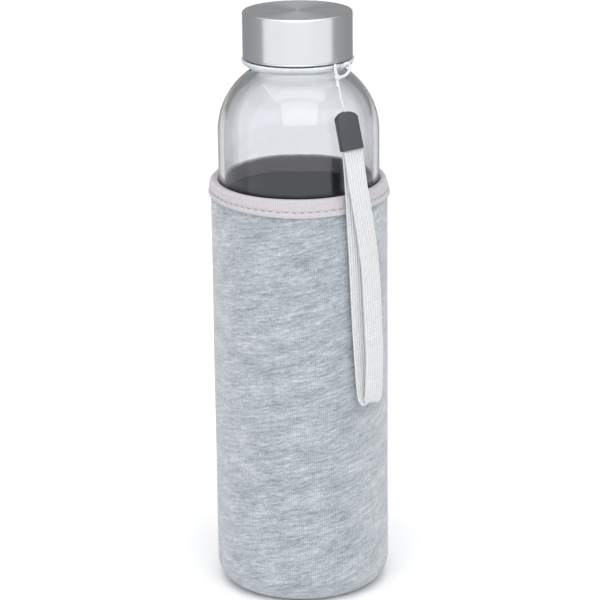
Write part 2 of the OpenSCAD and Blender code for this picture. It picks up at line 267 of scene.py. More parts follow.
def yarn_streaks() -> bpy.types.NodeTree:
    """Long soft streaks with short flecks, as dyed and plain fibres spun together give.

    Returns:
        The group's node tree.
    """

    def build(bench: Bench, given: bpy.types.Node) -> dict[str, bpy.types.NodeSocket]:
        """Adds the streaks' nodes.

        Args:
            bench: The group's tree.
            given: Its input node.

        Returns:
            The group's outputs by name.
        """
        place = given.outputs["Vector"]
        long_run = bench.noise(bench.stretch(place, (120.0, 760.0, 500.0), -12.0), 1.0, 2.0, 0.55)
        short_run = bench.noise(bench.stretch(place, (380.0, 1300.0, 900.0), -12.0), 1.0, 2.0, 0.6)
        fleck = bench.noise(bench.stretch(place, (1500.0, 2600.0, 2000.0), -8.0), 1.0, 2.0, 0.6)
        patch = bench.noise(bench.stretch(place, (60.0, 150.0, 90.0), -14.0), 1.0, 2.0, 0.6)
        total = bench.maths("MULTIPLY", long_run, 0.24)
        for part, share in ((short_run, 0.29), (fleck, 0.27), (patch, 0.2)):
            total = bench.maths("ADD", total, bench.maths("MULTIPLY", part, share))
        dash = bench.noise(bench.stretch(place, (620.0, 2300.0, 1500.0), -11.0), 1.0, 1.0, 0.5)
        dash = bench.add("ShaderNodeMapRange", {0: dash, 1: 0.62, 2: 0.78, 4: 0.09}).outputs[0]
        total = bench.maths("SUBTRACT", total, dash)
        sharp = bench.maths("MULTIPLY", bench.maths("SUBTRACT", total, 0.5), given.outputs["Contrast"])
        clear = bench.add("ShaderNodeClamp", {0: bench.maths("ADD", sharp, 0.5)}).outputs[0]
        return {"Streaks": clear, "Fuzz": fleck}

    return node_group("yarn streaks", {"Vector": None, "Contrast": 3.0},
                      {"Streaks": "NodeSocketFloat", "Fuzz": "NodeSocketFloat"}, build)


def moulded_grain() -> bpy.types.NodeTree:
    """The faint orange-peel and dulling of a moulded or drawn surface, on coordinates in metres.

    Returns:
        The group's node tree.
    """

    def build(bench: Bench, given: bpy.types.Node) -> dict[str, bpy.types.NodeSocket]:
        """Adds the grain's nodes.

        Args:
            bench: The group's tree.
            given: Its input node.

        Returns:
            The group's outputs by name.
        """
        size = bench.maths("DIVIDE", 1.0, given.outputs["Size"])
        joins = {"Vector": given.outputs["Vector"], "Scale": size, "Detail": 3.0}
        fine = bench.add("ShaderNodeTexNoise", joins)
        broad = bench.noise(given.outputs["Vector"], 160.0, 3.0, 0.6)
        return {"Height": fine.outputs[0], "Dulling": broad}

    return node_group("moulded grain", {"Vector": None, "Size": 0.0003},
                      {"Height": "NodeSocketFloat", "Dulling": "NodeSocketFloat"}, build)


def use_group(bench: Bench, tree: bpy.types.NodeTree, joins: dict[str, object]) -> bpy.types.Node:
    """Places a node group and joins it up.

    Args:
        bench: The tree it goes into.
        tree: The group's tree.
        joins: Its inputs.

    Returns:
        The group node.
    """
    node = bench.add("ShaderNodeGroup", node_tree=tree)
    for key, value in joins.items():
        if isinstance(value, bpy.types.NodeSocket):
            bench.tree.links.new(value, node.inputs[key])
        else:
            node.inputs[key].default_value = value
    return node


# ---------------------------------------------------------------- finishes

Colour = tuple[float, float, float]


@dataclass(frozen=True)
class Finish:
    """What every finish has: its name and the record's slot that it stands for."""

    name: str
    slot: str

    def material(self) -> bpy.types.Material:
        """The finish as a material, built the first time it is asked for.

        Returns:
            The material.
        """
        if self.name in bpy.data.materials:
            return bpy.data.materials[self.name]
        made = bpy.data.materials.new(self.name)
        made.use_nodes = True
        made.node_tree.nodes.clear()
        bench = Bench(made.node_tree)
        surface = bench.add("ShaderNodeBsdfPrincipled")
        bench.add("ShaderNodeOutputMaterial", {0: surface.outputs[0]})
        coords = bench.add("ShaderNodeTexCoord")
        self.dress(bench, surface, coords)
        return made

    def dress(self, bench: Bench, surface: bpy.types.Node, coords: bpy.types.Node) -> None:
        """Gives the surface its colour and relief.

        Args:
            bench: The material's tree.
            surface: Its Principled node.
            coords: Its coordinates.
        """
        raise NotImplementedError

    @staticmethod
    def settle(bench: Bench, surface: bpy.types.Node, joins: dict[str, object]) -> None:
        """Sets or joins inputs of the surface.

        Args:
            bench: The material's tree.
            surface: Its Principled node.
            joins: Input names with constants or outputs.
        """
        for key, value in joins.items():
            if isinstance(value, bpy.types.NodeSocket):
                bench.tree.links.new(value, surface.inputs[key])
            else:
                surface.inputs[key].default_value = value


@dataclass(frozen=True)
class Cloth(Finish):
    """Knitted or woven cloth on its own unrolled map."""

    dark: Colour
    middle: Colour
    light: Colour
    wale: float
    course: float
    contrast: float
    relief: float
    sheen: float = 0.25
    slant: float = 1.2
    rough: float = 0.85
    gap_shade: float = 0.78

    def dress(self, bench: Bench, surface: bpy.types.Node, coords: bpy.types.Node) -> None:
        """Streaked yarn, small loops with painted shade in the gaps between them, and a soft sheen.

        Args:
            bench: The material's tree.
            surface: Its Principled node.
            coords: Its coordinates.
        """
        place = coords.outputs["UV"]
        streaks = use_group(bench, yarn_streaks(), {"Vector": place, "Contrast": self.contrast})
        loops = use_group(bench, looped_cloth(), {"Vector": place, "Wale": self.wale, "Course": self.course,
                                                   "Slant": self.slant})
        colour = bench.ramp(streaks.outputs["Streaks"], (0.0, self.dark), (0.5, self.middle), (1.0, self.light))
        # Painted shade: the colour is darkened in the gaps between the loops, down to gap_shade.
        gap_shading = bench.spread(loops.outputs["Gaps"], 1.0, self.gap_shade)
        shade = bench.add("ShaderNodeCombineColor", {0: gap_shading, 1: gap_shading, 2: gap_shading}).outputs[0]
        height = bench.maths("MULTIPLY_ADD", streaks.outputs["Fuzz"], 0.35, loops.outputs["Height"])
        self.settle(bench, surface, {
            "Base Color": bench.mixed(1.0, colour, shade, "MULTIPLY"),
            "Roughness": bench.spread(streaks.outputs["Fuzz"], self.rough - 0.06, self.rough + 0.08),
            "Sheen Weight": self.sheen, "Sheen Roughness": 0.5, "Specular IOR Level": 0.25,
            "Normal": bench.relief(height, self.relief)})


@dataclass(frozen=True)
class Yarn(Finish):
    """Twisted or braided thread. Strings carry a map of length and turn; stitches use their place."""

    dark: Colour
    light: Colour
    pitch: float
    mapped: bool

    def dress(self, bench: Bench, surface: bpy.types.Node, coords: bpy.types.Node) -> None:
        """Slanting twists, painted shade in the grooves between them, and a little fuzz.

        Args:
            bench: The material's tree.
            surface: Its Principled node.
            coords: Its coordinates.
        """
        place = coords.outputs["UV"] if self.mapped else coords.outputs["Object"]
        parts = bench.add("ShaderNodeSeparateXYZ", {0: place})
        run = bench.maths("DIVIDE", parts.outputs[0], self.pitch)
        other = parts.outputs[1] if self.mapped else bench.maths("DIVIDE", parts.outputs[2], self.pitch)
        twist = bench.maths("PINGPONG", bench.maths("MULTIPLY_ADD", other, 2.0, run), 0.5)
        cross = bench.maths("PINGPONG", bench.maths("MULTIPLY_ADD", other, -2.0, run), 0.5)
        strand_relief_and_shade = bench.maths("MULTIPLY", bench.maths("MAXIMUM", twist, cross), 2.0)
        fuzz = bench.noise(coords.outputs["Object"], 2600.0, 2.0)
        strand_relief_and_shade = bench.maths("MULTIPLY_ADD", fuzz, 0.3, bench.maths("MULTIPLY", strand_relief_and_shade, 0.7))
        # Painted shade: the colour runs from dark in the grooves between the twists to light on their crowns.
        self.settle(bench, surface, {
            "Base Color": bench.ramp(strand_relief_and_shade, (0.15, self.dark), (0.7, self.light)),
            "Roughness": bench.spread(fuzz, 0.6, 0.85), "Sheen Weight": 0.2, "Specular IOR Level": 0.3,
            "Normal": bench.relief(strand_relief_and_shade, 0.00012)})


@dataclass(frozen=True)
class ClearGlass(Finish):
    """Clear pressed and blown glass."""

    tint: Colour
    # edge and rim are painted shade colours for the glass seen edge on.
    edge: Colour
    rim: Colour

    def dress(self, bench: Bench, surface: bpy.types.Node, coords: bpy.types.Node) -> None:
        """A faint unevenness from the mould, hardly any colour, and painted shade that greys the glass where it
        is seen edge on.

        Args:
            bench: The material's tree.
            surface: Its Principled node.
            coords: Its coordinates.
        """
        place = coords.outputs["Object"]
        slow = bench.noise(bench.stretch(place, (45.0, 45.0, 14.0)), 1.0, 1.0, 0.3)
        haze = bench.noise(place, 240.0, 3.0, 0.6)
        deeper = tuple(0.97 * part for part in self.tint)
        body = bench.ramp(haze, (0.3, deeper), (0.7, self.tint))
        # Painted shade: where the glass is seen edge on, its colour turns to the edge grey and then to the
        # darker rim grey.
        turned = bench.add("ShaderNodeLayerWeight", {"Blend": 0.5}).outputs["Facing"]
        depth = bench.ramp(turned, (0.4, (1.0, 1.0, 1.0)), (0.46, self.edge), (0.72, self.edge),
                           (0.86, self.rim))
        self.settle(bench, surface, {
            "Base Color": bench.mixed(1.0, body, depth, "MULTIPLY"),
            "Roughness": bench.spread(haze, 0.0, 0.03), "IOR": 1.5, "Transmission Weight": 1.0,
            "Normal": bench.relief(slow, 0.0004, 0.25)})


@dataclass(frozen=True)
class BrushedSteel(Finish):
    """Stainless steel turned against a brush, so every scratch is a circle round the axis."""

    colour: Colour
    rough: float

    def dress(self, bench: Bench, surface: bpy.types.Node, coords: bpy.types.Node) -> None:
        """Rings of fine scratches on the top, and bands of them round the side.

        Args:
            bench: The material's tree.
            surface: Its Principled node.
            coords: Its coordinates.
        """
        place = coords.outputs["Object"]
        parts = bench.add("ShaderNodeSeparateXYZ", {0: place})
        radius = bench.maths("SQRT", bench.maths("ADD", bench.maths("POWER", parts.outputs[0], 2.0),
                                                 bench.maths("POWER", parts.outputs[1], 2.0)))
        run = bench.maths("SUBTRACT", radius, parts.outputs[2])
        drift = bench.maths("MULTIPLY", bench.noise(place, 90.0, 2.0), 0.0006)
        line = bench.add("ShaderNodeCombineXYZ", {0: bench.maths("ADD", run, drift)}).outputs[0]
        fine = bench.noise(line, 9000.0, 3.0, 0.7)
        broad = bench.noise(line, 1500.0, 3.0, 0.6)
        lines = bench.maths("MULTIPLY_ADD", fine, 0.6, bench.maths("MULTIPLY", broad, 0.4))
        smear = bench.noise(place, 70.0, 2.0, 0.5)
        dulling = bench.maths("MULTIPLY_ADD", smear, 0.3, bench.maths("MULTIPLY", lines, 0.7))
        deep = tuple(0.93 * part for part in self.colour)
        self.settle(bench, surface, {
            "Base Color": bench.ramp(lines, (0.25, deep), (0.75, self.colour)), "Metallic": 1.0,
            "Roughness": bench.spread(dulling, self.rough - 0.05, self.rough + 0.07),
            "Anisotropic": 0.75, "Anisotropic Rotation": 0.25, "Normal": bench.relief(lines, 0.000005, 0.4)})
        tangent = bench.add("ShaderNodeTangent", direction_type="RADIAL", axis="Z")
        bench.tree.links.new(tangent.outputs[0], surface.inputs["Tangent"])


@dataclass(frozen=True)
class Moulding(Finish):
    """Moulded plastic or rubber."""

    colour: Colour
    rough: float
    grain: float
    depth: float
    soft: float = 0.0
    clear: float = 0.0

    def dress(self, bench: Bench, surface: bpy.types.Node, coords: bpy.types.Node) -> None:
        """A fine moulded grain with slightly duller and glossier parts.

        Args:
            bench: The material's tree.
            surface: Its Principled node.
            coords: Its coordinates.
        """
        given = {"Vector": coords.outputs["Object"], "Size": self.grain}
        grain = use_group(bench, moulded_grain(), given)
        deep = tuple(0.86 * part for part in self.colour)
        dulling = grain.outputs["Dulling"]
        self.settle(bench, surface, {
            "Base Color": bench.ramp(dulling, (0.3, deep), (0.7, self.colour)),
            "Roughness": bench.spread(dulling, self.rough - 0.06, self.rough + 0.08),
            "Subsurface Weight": self.soft, "Subsurface Scale": 0.002, "Transmission Weight": self.clear,
            "Normal": bench.relief(grain.outputs["Height"], self.depth)})


@dataclass(frozen=True)
class StudioFloor(Finish):
    """A plain pale painted floor."""

    colour: Colour

    def dress(self, bench: Bench, surface: bpy.types.Node, coords: bpy.types.Node) -> None:
        """A very slight mottling.

        Args:
            bench: The material's tree.
            surface: Its Principled node.
            coords: Its coordinates.
        """
        cloud = bench.noise(coords.outputs["Object"], 6.0, 2.0)
        deep = tuple(0.985 * part for part in self.colour)
        self.settle(bench, surface, {"Base Color": bench.ramp(cloud, (0.3, deep), (0.7, self.colour)),
                                     "Roughness": 0.9, "Specular IOR Level": 0.1})


KNIT = Cloth("heather knit", "knit", (0.19, 0.22, 0.255), (0.39, 0.427, 0.465), (0.65, 0.68, 0.71),
             wale=0.00075, course=0.0006, contrast=3.7, relief=0.00014, sheen=0.65)
LINING = Cloth("black lining", "lining", (0.046, 0.054, 0.082), (0.057, 0.066, 0.1), (0.067, 0.077, 0.116),
               wale=0.0005, course=0.0004, contrast=1.2, relief=0.000006, sheen=0.1, gap_shade=0.94)
TAPE = Cloth("ribbed tape", "tape", (0.47, 0.44, 0.465), (0.57, 0.543, 0.566), (0.665, 0.64, 0.663),
             wale=0.00087, course=0.0006, contrast=1.6, relief=0.00012, sheen=0.25, slant=0.2)
WEBBING = Cloth("white webbing", "webbing", (0.63, 0.64, 0.655), (0.78, 0.785, 0.795), (0.88, 0.88, 0.89),
                wale=0.00092, course=0.00085, contrast=1.4, relief=0.00034, sheen=0.3, slant=1.0)
# Painted shade: the binding's thread is darker than its own colour, standing in for the shade of the needle
# holes it lies in.
SHADE_DARK_THREAD = Yarn("shade-dark sewing thread", "thread", (0.12, 0.105, 0.12), (0.31, 0.275, 0.3), 0.0005, False)
SEAM_THREAD = Yarn("grey seam thread", "thread", (0.2, 0.22, 0.26), (0.45, 0.49, 0.54), 0.0005, False)
STRING = Yarn("white string", "string", (0.42, 0.45, 0.48), (0.74, 0.76, 0.78), 0.0009, True)
KNOT = Yarn("white knot", "string", (0.42, 0.45, 0.48), (0.74, 0.76, 0.78), 0.0008, True)
# Clear glass; its second and third colours are painted shade for where the glass is seen edge on.
GLASS = ClearGlass("clear glass", "glass", (0.85, 0.86, 0.882), (0.69, 0.69, 0.685),
                   (0.3, 0.3, 0.3))
STEEL = BrushedSteel("brushed steel", "steel", (0.7, 0.702, 0.71), 0.26)
LINER = Moulding("white liner", "liner_plastic", (0.86, 0.86, 0.85), 0.4, 0.0004, 0.00001, soft=0.1)
SEAL = Moulding("silicone seal", "silicone", (0.75, 0.77, 0.76), 0.45, 0.0005, 0.00001, soft=0.3)
RING = Moulding("milky ring plastic", "ring_plastic", (0.69, 0.73, 0.77), 0.25, 0.0005, 0.000008, soft=0.3)
CLASP = Moulding("dark clasp plastic", "clasp_plastic", (0.046, 0.05, 0.057), 0.42, 0.00025, 0.00002)
FLOOR = StudioFloor("studio floor", "", (0.93, 0.93, 0.93))


# ---------------------------------------------------------------- shaping

def spun(profile: Sequence[tuple[float, float]], steps: int, closed: bool) -> bmesh.types.BMesh:
    """Turns an outline once round the Z axis, starting and ending at the back.

    Args:
        profile: Radius and height of each point, in millimetres.
        steps: Steps of the turn.
        closed: True if the outline's last point joins its first.

    Returns:
        The turned shape, in metres, with its faces outwards.
    """
    bm = bmesh.new()
    points = [bm.verts.new((0.0, r * MM, z * MM)) for r, z in profile]
    lines = [bm.edges.new(pair) for pair in zip(points, points[1:])]
    if closed:
        lines.append(bm.edges.new((points[-1], points[0])))
    bmesh.ops.spin(bm, geom=points + lines, cent=(0, 0, 0), axis=(0, 0, 1), angle=TURN, steps=steps,
                   use_merge=True)
    bmesh.ops.remove_doubles(bm, verts=bm.verts[:], dist=WELD)
    bmesh.ops.recalc_face_normals(bm, faces=bm.faces[:])
    return bm


def arc(centre: tuple[float, float], radius: float, start: float, end: float, cuts: int
        ) -> list[tuple[float, float]]:
    """Points of an arc in an outline.

    Args:
        centre: Radius and height of its centre, in millimetres.
        radius: Its radius in millimetres.
        start: First angle in degrees, 0 pointing out from the axis and 90 up.
        end: Last angle in degrees.
        cuts: Number of steps.

    Returns:
        The points, both ends included.
    """
    angles = [math.radians(start + (end - start) * k / cuts) for k in range(cuts + 1)]
    return [(centre[0] + radius * math.cos(a), centre[1] + radius * math.sin(a)) for a in angles]


def rise(radius: float, low: float, high: float, cuts: int) -> list[tuple[float, float]]:
    """Points up or down a wall of one radius, both ends left out."""
    return [(radius, low + (high - low) * k / cuts) for k in range(1, cuts)]


def turn_of(place: Vector) -> float:
    """Angle of a place round the axis, from 0 at the back, anticlockwise from above, up to one turn."""
    return (math.atan2(place.y, place.x) - math.pi / 2) % TURN


def unroll(bm: bmesh.types.BMesh, radius: float, along: Callable[[Vector], float]) -> None:
    """Gives a turned shape a map in metres: round the axis, and along its outline.

    Args:
        bm: The shape.
        radius: Radius at which the map is true, in metres.
        along: Length along the outline at a place.
    """
    layer = bm.loops.layers.uv.new("unrolled")
    for face in bm.faces:
        middle = turn_of(face.calc_center_median())
        for loop in face.loops:
            angle = turn_of(loop.vert.co)
            angle += TURN * round((middle - angle) / TURN)
            loop[layer].uv = (angle * radius, along(loop.vert.co))


def sweep(section: Sequence[Vector], places: Sequence[Matrix]) -> bmesh.types.BMesh:
    """Pulls a closed section along a row of placements.

    Args:
        section: The section's points, in metres, about its own middle.
        places: Where it goes, one matrix after another.

    Returns:
        A closed tube with a map of length and turn, in metres and from 0 to 1.
    """
    bm = bmesh.new()
    length = bm.verts.layers.float.new("length")
    around = bm.verts.layers.float.new("around")
    ring = [bm.verts.new(places[0] @ point) for point in section]
    for k, vert in enumerate(ring):
        vert[around] = k / len(ring)
    edges = [bm.edges.new(pair) for pair in zip(ring, ring[1:] + ring[:1])]
    bm.faces.new(ring)
    run = 0.0
    for last, place in zip(places, places[1:]):
        run += (place.translation - last.translation).length
        grown = bmesh.ops.extrude_edge_only(bm, edges=edges)["geom"]
        verts = [part for part in grown if isinstance(part, bmesh.types.BMVert)]
        edges = [part for part in grown if isinstance(part, bmesh.types.BMEdge) and part.is_boundary]
        bmesh.ops.transform(bm, matrix=place @ last.inverted(), verts=verts)
        for vert in verts:
            vert[length] = run
    bmesh.ops.edgeloop_fill(bm, edges=edges)
    bmesh.ops.recalc_face_normals(bm, faces=bm.faces[:])
    layer = bm.loops.layers.uv.new("unrolled")
    for face in bm.faces:
        turns = [loop.vert[around] for loop in face.loops]
        wraps = max(turns) - min(turns) > 0.5 and len(turns) == 4
        for loop, turn in zip(face.loops, turns):
            loop[layer].uv = (loop.vert[length], turn + 1.0 if wraps and turn < 0.5 else turn)
    return bm


def smoothed(route: Sequence[Vector], cuts: int) -> list[Vector]:
    """A smooth run through the points of a route.

    Args:
        route: The points.
        cuts: Steps between each two of them.

    Returns:
        The points of the smooth run.
    """
    ends = [2 * route[0] - route[1], *route, 2 * route[-1] - route[-2]]
    run = []
    for a, b, c, d in zip(ends, ends[1:], ends[2:], ends[3:]):
        for k in range(cuts):
            t = k / cuts
            run.append(0.5 * (2 * b + (c - a) * t + (2 * a - 5 * b + 4 * c - d) * t * t
                              + (3 * b - a - 3 * c + d) * t * t * t))
    return run + [route[-1].copy()]


def placements(run: Sequence[Vector], sides: Sequence[Vector] | None = None) -> list[Matrix]:
    """Turns a run of points into placements that face along it.

    Args:
        run: The points.
        sides: Which way the section's X points at each, or None to carry it along untwisted.

    Returns:
        One matrix a point: X sideways, Y across, Z along the run.
    """
    made = []
    side = Vector((0.3, 0.1, 0.9))
    for k, point in enumerate(run):
        ahead = (run[min(k + 1, len(run) - 1)] - run[max(k - 1, 0)]).normalized()
        side = sides[k] if sides else side
        side = (side - side.dot(ahead) * ahead).normalized()
        across = ahead.cross(side)
        turn = Matrix((side, across, ahead)).transposed().to_4x4()
        made.append(Matrix.Translation(point) @ turn)
    return made


def round_section(radius: float, sides: int) -> list[Vector]:
    """The points of a circle."""
    return [Vector((radius * math.cos(TURN * k / sides), radius * math.sin(TURN * k / sides), 0.0))
            for k in range(sides)]


def finished_piece(name: str, bm: bmesh.types.BMesh, finish: Finish, body: Body | None,
                   nodes: Sequence[str] = (), crease: float = 40.0) -> bpy.types.Object:
    """Makes the scene's piece from a shape.

    Args:
        name: The piece's name.
        bm: Its shape, which is used up.
        finish: Its finish.
        body: The body that it rides on, or None to leave it on no body.
        nodes: The CAD nodes that it stands for.
        crease: Edges sharper than this many degrees stay sharp.

    Returns:
        The piece.
    """
    mesh = bpy.data.meshes.new(name)
    bm.to_mesh(mesh)
    bm.free()
    mesh.shade_smooth()
    mesh.set_sharp_from_angle(angle=math.radians(crease))
    mesh.materials.append(finish.material())
    piece = bpy.data.objects.new(name, mesh)
    bpy.context.scene.collection.objects.link(piece)
    if nodes:
        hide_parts(*nodes)
    if body:
        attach(piece, body.value)
    return piece


def cad_copy(name: str, node: str, finish: Finish, body: Body, crease: float) -> bpy.types.Object:
    """A smooth-shaded copy of a rigid CAD node, with its loose triangles joined up.

    Args:
        name: The new piece's name.
        node: The CAD node.
        finish: Its finish.
        body: The body that it rides on.
        crease: Edges sharper than this many degrees stay sharp.

    Returns:
        The piece.
    """
    bm = bmesh.new()
    bm.from_mesh(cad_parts[node].data)
    bmesh.ops.remove_doubles(bm, verts=bm.verts[:], dist=WELD)
    return finished_piece(name, bm, finish, body, [node], crease)


def stitch_row(spots: Sequence[Matrix], size: tuple[float, float, float]) -> bmesh.types.BMesh:
    """Sews a row of stitches, each a small plump loop of thread.

    Args:
        spots: Where each stitch lies, its X along the stitch.
        size: Half length, half width and half height of a stitch, in metres.

    Returns:
        All the stitches in one shape.
    """
    bm = bmesh.new()
    shape = Matrix.Diagonal((*size, 1.0)) @ Matrix.Rotation(math.pi / 2, 4, "Y")
    for spot in spots:
        bmesh.ops.create_uvsphere(bm, u_segments=8, v_segments=6, radius=1.0, matrix=spot @ shape)
    return bm


def round_the_axis(radius: float, z: float, angle: float, lean: float = 0.0) -> Matrix:
    """A place on a cylinder round the axis.

    Args:
        radius: The cylinder's radius in metres.
        z: Height in metres.
        angle: Turn from +X in radians.
        lean: Turn of the place's own X away from level, in radians.

    Returns:
        A matrix with X level along the surface, Y up and Z outwards.
    """
    out = Vector((math.cos(angle), math.sin(angle), 0.0))
    level = Vector((-math.sin(angle), math.cos(angle), 0.0))
    up = Vector((0.0, 0.0, 1.0))
    along = math.cos(lean) * level + math.sin(lean) * up
    turn = Matrix((along, out.cross(along), out)).transposed().to_4x4()
    return Matrix.Translation(radius * out + z * up) @ turn


# ---------------------------------------------------------------- camera and studio

@dataclass
class Viewpoint:
    """The camera that looks down on the bottle from the front."""

    lens: float = 153.157
    sensor: float = 36.0
    place: tuple[float, float, float] = (-0.00017, -0.95385, 0.40954)
    pitch: float = 17.16
    roll: float = -0.637

    def build(self) -> bpy.types.Object:
        """Makes the camera and hands it to the scene.

        Returns:
            The camera.
        """
        data = bpy.data.cameras.new("front camera")
        data.lens = self.lens
        data.sensor_width = self.sensor
        camera = bpy.data.objects.new("front camera", data)
        bpy.context.scene.collection.objects.link(camera)
        turn = Matrix.Rotation(math.radians(90.0 - self.pitch), 4, "X") @ Matrix.Rotation(
            math.radians(self.roll), 4, "Z")
        camera.matrix_world = Matrix.Translation(self.place) @ turn
        bpy.context.scene.camera = camera
        return camera


@dataclass(frozen=True)
class Softbox:
    """A large flat light with a cloth front."""

    name: str
    place: tuple[float, float, float]
    aim: tuple[float, float, float]
    size: tuple[float, float]
    glow: float

    def build(self) -> bpy.types.Object:
        """Makes the light. Its glow is the brightness of its front, whatever its size.

        Returns:
            The light.
        """
        data = bpy.data.lights.new(self.name, "AREA")
        data.shape = "RECTANGLE"
        data.size, data.size_y = self.size
        data.energy = self.glow * math.pi * self.size[0] * self.size[1]
        light = bpy.data.objects.new(self.name, data)
        bpy.context.scene.collection.objects.link(light)
        light.location = self.place
        light.rotation_euler = (Vector(self.aim) - Vector(self.place)).to_track_quat("-Z", "Y").to_euler()
        light.visible_camera = False
        return light


@dataclass
class Studio:
    """A plain pale floor in a soft studio: a broad bright front, quieter sides and a softbox overhead."""

    half_width: float = 5.0
    front_glow: float = 1.2
    side_glow: float = 0.5
    back_glow: float = 0.36
    front_half_turn: float = 77.0
    overhead: Softbox = Softbox("top softbox", (0.0, 0.3, 2.1), (0.0, 0.0, 0.1), (2.6, 2.4), 1.35)
    window: Softbox = Softbox("window softbox", (0.05, -1.5, 1.6), (0.0, 0.0, 0.18), (1.9, 1.5), 1.5)

    def floor(self) -> bpy.types.Object:
        """Makes the floor, which shows in no gloss, so the steel mirrors the studio alone.

        Returns:
            The floor.
        """
        bm = bmesh.new()
        bmesh.ops.create_grid(bm, x_segments=8, y_segments=8, size=self.half_width)
        floor = finished_piece("studio floor", bm, FLOOR, None)
        floor.visible_glossy = False
        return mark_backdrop(floor) or floor

    def walls(self) -> bpy.types.World:
        """Makes the light that comes from all round.

        Returns:
            The world.
        """
        world = bpy.data.worlds.new("studio light")
        world.use_nodes = True
        bench = Bench(world.node_tree)
        parts = bench.add("ShaderNodeSeparateXYZ", {0: bench.add("ShaderNodeTexCoord").outputs["Generated"]})
        level = bench.maths("SQRT", bench.maths("ADD", bench.maths("POWER", parts.outputs[0], 2.0),
                                                bench.maths("POWER", parts.outputs[1], 2.0)))
        ahead = bench.maths("DIVIDE", bench.maths("MULTIPLY", parts.outputs[1], -1.0), level)
        edge = math.cos(math.radians(self.front_half_turn))
        rear = bench.add("ShaderNodeMapRange", {0: ahead, 1: -0.9, 2: 0.1, 3: self.back_glow,
                                                4: self.side_glow}).outputs[0]
        front = bench.add("ShaderNodeMapRange", {0: ahead, 1: edge - 0.03, 2: edge + 0.03, 3: rear,
                                                 4: self.front_glow}).outputs[0]
        background = world.node_tree.nodes["Background"]
        background.inputs[0].default_value = (0.975, 0.985, 1.0, 1.0)
        bench.tree.links.new(front, background.inputs[1])
        bpy.context.scene.world = world
        return world

    def build(self) -> None:
        """Makes the floor and the light."""
        self.floor()
        self.walls()
        self.overhead.build()
        self.window.build()
        bpy.context.scene.view_settings.view_transform = "Standard"


# ---------------------------------------------------------------- strap

